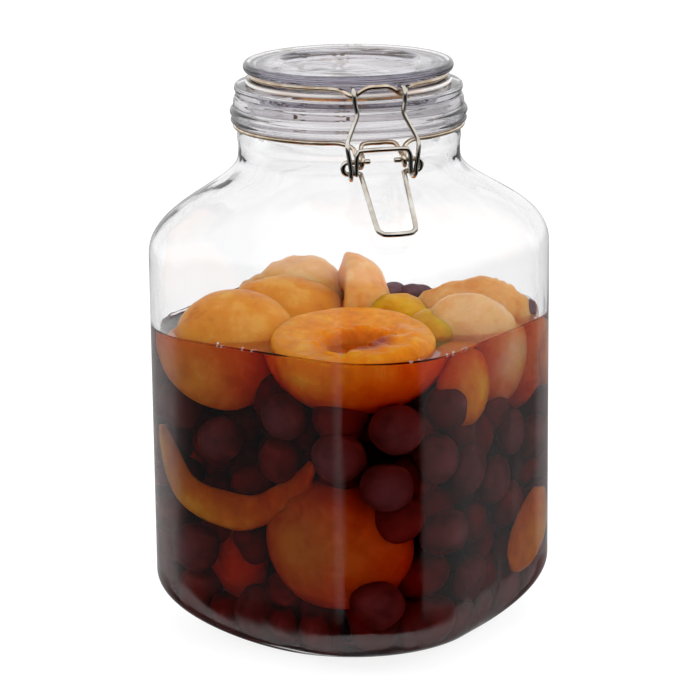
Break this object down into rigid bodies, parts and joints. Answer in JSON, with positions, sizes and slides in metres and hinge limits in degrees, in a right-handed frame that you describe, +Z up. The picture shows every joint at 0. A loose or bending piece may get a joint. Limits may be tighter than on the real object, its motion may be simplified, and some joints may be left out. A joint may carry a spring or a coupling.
{
  "type": "swing-top canning jar",
  "caption": "Square-shouldered glass canning jar with a hinged dished glass lid, rubber gasket and over-centre wire latch, filled with peach halves and cherries in syrup.",
  "frame": {"origin": "centre of the round foot, on the surface that the jar stands on", "axes": "+Z up through the neck and lid; the flat sides of the body face +X, -X, +Y and -Y; the latch is over the corner between +X and -Y"},
  "size_m": [0.1658, 0.1658, 0.2766],
  "materials": {
    "clear_glass": "clear pressed glass, gently wavy",
    "bright_steel": "bright drawn wire",
    "pale_rubber": "pale smooth rubber",
    "dark_syrup": "clear dark red syrup",
    "peach_flesh": "wet peach flesh",
    "cherry_skin": "wet dark cherry skin"
  },
  "bodies": {
    "jar": {"glass_jar": "clear_glass", "neck_wire": "bright_steel", "liquid": "dark_syrup", "peach_half_1": "peach_flesh", "peach_half_2": "peach_flesh", "peach_half_3": "peach_flesh", "peach_half_4": "peach_flesh", "peach_half_5": "peach_flesh", "peach_half_6": "peach_flesh", "peach_half_7": "peach_flesh", "peach_half_8": "peach_flesh", "peach_half_9": "peach_flesh", "peach_half_10": "peach_flesh", "peach_half_11": "peach_flesh", "peach_slice_1": "peach_flesh", "peach_slice_2": "peach_flesh", "cherry_1": "cherry_skin", "cherry_2": "cherry_skin", "cherry_3": "cherry_skin", "cherry_4": "cherry_skin", "cherry_5": "cherry_skin", "cherry_6": "cherry_skin", "cherry_7": "cherry_skin", "cherry_8": "cherry_skin", "cherry_9": "cherry_skin", "cherry_10": "cherry_skin", "cherry_11": "cherry_skin", "cherry_12": "cherry_skin", "cherry_13": "cherry_skin", "cherry_14": "cherry_skin", "cherry_15": "cherry_skin", "cherry_16": "cherry_skin", "cherry_17": "cherry_skin", "cherry_18": "cherry_skin", "cherry_19": "cherry_skin", "cherry_20": "cherry_skin", "cherry_21": "cherry_skin", "cherry_22": "cherry_skin", "cherry_23": "cherry_skin", "cherry_24": "cherry_skin", "cherry_25": "cherry_skin", "cherry_26": "cherry_skin", "cherry_27": "cherry_skin", "cherry_28": "cherry_skin", "cherry_29": "cherry_skin", "cherry_30": "cherry_skin", "cherry_31": "cherry_skin", "cherry_32": "cherry_skin", "cherry_33": "cherry_skin", "cherry_34": "cherry_skin", "cherry_35": "cherry_skin", "cherry_36": "cherry_skin", "cherry_37": "cherry_skin", "cherry_38": "cherry_skin", "cherry_39": "cherry_skin"},
    "lid": {"glass_lid": "clear_glass", "rubber_gasket": "pale_rubber", "lid_wire": "bright_steel"},
    "latch_lever": {"latch_lever": "bright_steel"},
    "latch_link": {"latch_link": "bright_steel"}
  },
  "joints": [
    {"name": "lid_hinge", "type": "hinge", "parent": "jar", "child": "lid", "pos_m": [-0.04512, 0.04179, 0.258], "axis": [-0.6794, -0.7337, 0], "range_deg": [0, 225]},
    {"name": "lever_pivot", "type": "hinge", "parent": "jar", "child": "latch_lever", "pos_m": [0.04498, -0.04165, 0.2395], "axis": [-0.6794, -0.7337, 0], "range_deg": [0, 75]},
    {"name": "link_pivot", "type": "hinge", "parent": "latch_lever", "child": "latch_link", "pos_m": [0.04476, -0.04145, 0.2341], "axis": [-0.6794, -0.7337, 0], "range_deg": [-90, 0]}
  ],
  "couplings": [
    {"joint": "link_pivot", "follows": "lever_pivot", "ratio": -1.2}
  ]
}
